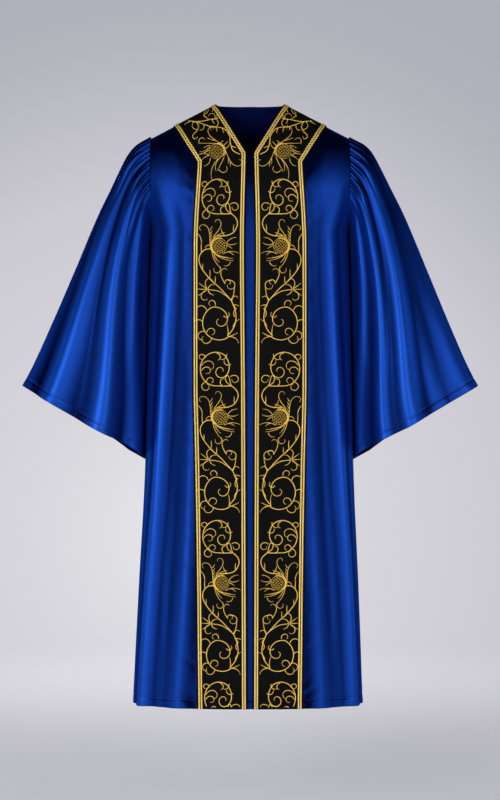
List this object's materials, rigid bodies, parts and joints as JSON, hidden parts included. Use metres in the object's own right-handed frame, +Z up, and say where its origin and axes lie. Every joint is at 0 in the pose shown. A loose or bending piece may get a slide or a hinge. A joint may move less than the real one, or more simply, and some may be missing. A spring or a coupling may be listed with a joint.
{
  "type": "ceremonial robe",
  "caption": "Full-length ceremonial robe, open down the front, with gathered bell sleeves and black bands edged in gold braid, filled out as worn.",
  "frame": {"origin": "at the base of the neck, midway between the two neck points where the shoulder seams end", "axes": "+Z up along the robe's length, +Y towards the back, +X towards the wearer's left"},
  "size_m": [1.0146, 0.3039, 1.3344],
  "materials": {
    "blue_cloth": "royal blue satin velvet with a soft directional sheen",
    "black_band": "black matt velvet with gold thread embroidery",
    "gold_braid": "twisted metallic gold cord braid"
  },
  "bodies": {
    "root": {"back_panel": "blue_cloth", "front_left": "blue_cloth", "front_right": "blue_cloth", "front_underlap": "blue_cloth", "sleeve_left": "blue_cloth", "sleeve_right": "blue_cloth", "band_left": "black_band", "band_right": "black_band", "band_back_neck": "black_band", "braid_inner_left": "gold_braid", "braid_outer_left": "gold_braid", "braid_inner_right": "gold_braid", "braid_outer_right": "gold_braid", "braid_back_neck": "gold_braid", "braid_back_outer": "gold_braid"}
  },
  "joints": []
}
